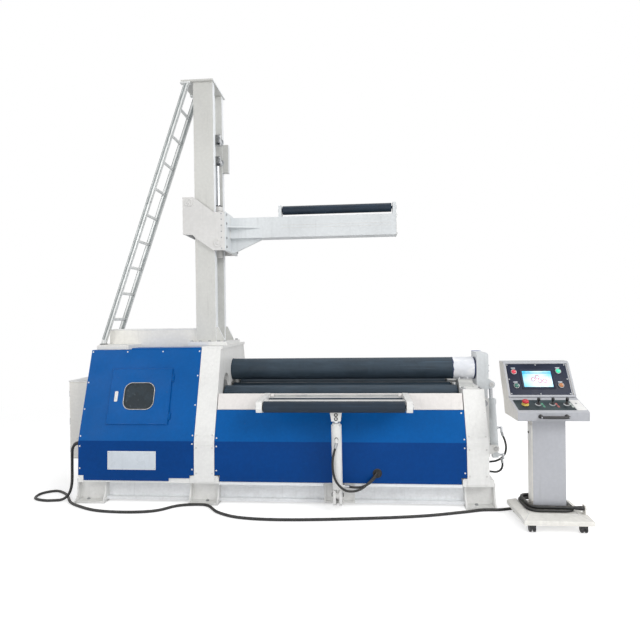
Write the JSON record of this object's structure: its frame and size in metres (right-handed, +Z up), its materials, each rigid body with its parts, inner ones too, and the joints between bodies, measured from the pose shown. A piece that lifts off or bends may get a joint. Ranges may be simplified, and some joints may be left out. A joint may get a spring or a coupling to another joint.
{
  "type": "plate rolling machine",
  "caption": "Hydraulic plate rolling machine with a drop end, a front support table, an overhead support on a column and a control console on casters.",
  "frame": {"origin": "on the floor, in the middle of the four main anchor bolts, below the top roll's axis and midway between the two roll frames", "axes": "+X along the rolls towards the drop end, +Y towards the back, +Z up"},
  "size_m": [4.6961, 1.79, 3.927],
  "materials": {
    "white_paint": "satin",
    "grey_paint": "satin",
    "cream_paint": "satin",
    "blue_paint": "gloss",
    "roll_steel": "satin",
    "block_steel": "satin",
    "rod_chrome": "polished",
    "ladder_aluminium": "satin",
    "roller_black": "satin",
    "black_rubber": "matte",
    "black_plastic": "matte"
  },
  "bodies": {
    "machine": {"base_beams": "grey_paint", "base_feet": "white_paint", "drive_housing": "white_paint", "drive_covers": "blue_paint", "left_frame": "cream_paint", "right_frame": "white_paint", "middle_panels": "blue_paint", "cross_beams": "grey_paint", "frame_cap": "white_paint", "yoke_bracket": "white_paint", "column": "grey_paint", "lift_rod": "rod_chrome", "ladder": "ladder_aluminium", "top_box": "grey_paint", "electrical_cabinet": "cream_paint", "console_desk": "cream_paint", "console_post": "grey_paint", "console_base": "cream_paint", "console_casters": "black_plastic", "cable_gland": "black_plastic", "control_cable": "black_rubber", "cable_coil": "black_rubber"},
    "door": {"access_door": "blue_paint"},
    "top_roll": {"top_roll": "roll_steel"},
    "bottom_lift": {"bottom_roll_blocks": "block_steel"},
    "bottom_roll": {"bottom_roll": "roll_steel"},
    "front_lift": {"front_roll_blocks": "block_steel"},
    "front_roll": {"front_side_roll": "roll_steel"},
    "rear_lift": {"rear_roll_blocks": "block_steel"},
    "rear_roll": {"rear_side_roll": "roll_steel"},
    "yoke": {"drop_end_yoke": "grey_paint"},
    "yoke_cylinder": {"yoke_cylinder": "grey_paint", "yoke_fittings": "rod_chrome", "yoke_hoses": "black_rubber"},
    "yoke_rod": {"yoke_rod": "rod_chrome"},
    "carriage": {"carriage": "grey_paint", "lift_cylinder": "grey_paint", "overhead_arm": "white_paint"},
    "arm_roller": {"arm_roller": "roller_black"},
    "table": {"table_frame": "white_paint"},
    "table_front_roller": {"table_front_roller": "roller_black"},
    "table_rear_roller": {"table_rear_roller": "roller_black"},
    "table_cylinder": {"table_cylinder": "white_paint", "table_hoses": "black_rubber"},
    "table_rod": {"table_rod": "rod_chrome"}
  },
  "joints": [
    {"name": "door_hinge", "type": "hinge", "parent": "machine", "child": "door", "pos_m": [-1.483, -0.5798, 0.93432], "axis": [0, 0.3019, 0.9533], "range_deg": [0, 110]},
    {"name": "top_roll_spin", "type": "hinge", "parent": "machine", "child": "top_roll", "pos_m": [0, 0, 1.119], "axis": [1, 0, 0], "continuous": true},
    {"name": "bottom_roll_lift", "type": "slide", "parent": "machine", "child": "bottom_lift", "axis": [0, 0, 1], "range_m": [-0.04, 0.024]},
    {"name": "bottom_roll_spin", "type": "hinge", "parent": "bottom_lift", "child": "bottom_roll", "pos_m": [0, 0, 0.89], "axis": [1, 0, 0], "continuous": true},
    {"name": "front_roll_lift", "type": "slide", "parent": "machine", "child": "front_lift", "axis": [0, 0.342, 0.9397], "range_m": [-0.06, 0.06]},
    {"name": "front_roll_spin", "type": "hinge", "parent": "front_lift", "child": "front_roll", "pos_m": [0, -0.31, 0.918], "axis": [1, 0, 0], "continuous": true},
    {"name": "rear_roll_lift", "type": "slide", "parent": "machine", "child": "rear_lift", "axis": [0, -0.342, 0.9397], "range_m": [-0.06, 0.06]},
    {"name": "rear_roll_spin", "type": "hinge", "parent": "rear_lift", "child": "rear_roll", "pos_m": [0, 0.31, 0.918], "axis": [1, 0, 0], "continuous": true},
    {"name": "drop_end_tilt", "type": "hinge", "parent": "machine", "child": "yoke", "pos_m": [1.341, 0, 0.8], "axis": [0, 1, 0], "range_deg": [0, 40]},
    {"name": "yoke_cylinder_swing", "type": "hinge", "parent": "machine", "child": "yoke_cylinder", "pos_m": [1.474, 0, 0.35], "axis": [0, 1, 0], "range_deg": [0, 8.65]},
    {"name": "yoke_rod_slide", "type": "slide", "parent": "yoke_cylinder", "child": "yoke_rod", "axis": [-0.0524, 0, 0.9986], "range_m": [-0.09696, 0]},
    {"name": "carriage_lift", "type": "slide", "parent": "machine", "child": "carriage", "axis": [0, 0, 1], "range_m": [-0.2, 0.25]},
    {"name": "arm_roller_spin", "type": "hinge", "parent": "carriage", "child": "arm_roller", "pos_m": [0, 0, 2.687], "axis": [1, 0, 0], "continuous": true},
    {"name": "table_tilt", "type": "hinge", "parent": "machine", "child": "table", "pos_m": [-0.018, -0.615, 0.945], "axis": [-1, 0, 0], "range_deg": [0, 20]},
    {"name": "table_front_roller_spin", "type": "hinge", "parent": "table", "child": "table_front_roller", "pos_m": [-0.018, -0.946, 0.91], "axis": [1, 0, 0], "continuous": true},
    {"name": "table_rear_roller_spin", "type": "hinge", "parent": "table", "child": "table_rear_roller", "pos_m": [-0.018, -0.703, 0.92], "axis": [1, 0, 0], "continuous": true},
    {"name": "table_cylinder_swing", "type": "hinge", "parent": "machine", "child": "table_cylinder", "pos_m": [-0.004, -0.76, 0.15], "axis": [1, 0, 0], "range_deg": [0, 1.4]},
    {"name": "table_rod_slide", "type": "slide", "parent": "table_cylinder", "child": "table_rod", "axis": [0, -0.1502, 0.9887], "range_m": [0, 0.09554]}
  ],
  "couplings": [
    {"joint": "yoke_cylinder_swing", "follows": "drop_end_tilt", "ratio": 0.21623},
    {"joint": "yoke_rod_slide", "follows": "drop_end_tilt", "m_per_rad": -0.13889},
    {"joint": "table_cylinder_swing", "follows": "table_tilt", "ratio": 0.06985},
    {"joint": "table_rod_slide", "follows": "table_tilt", "m_per_rad": 0.2737}
  ]
}
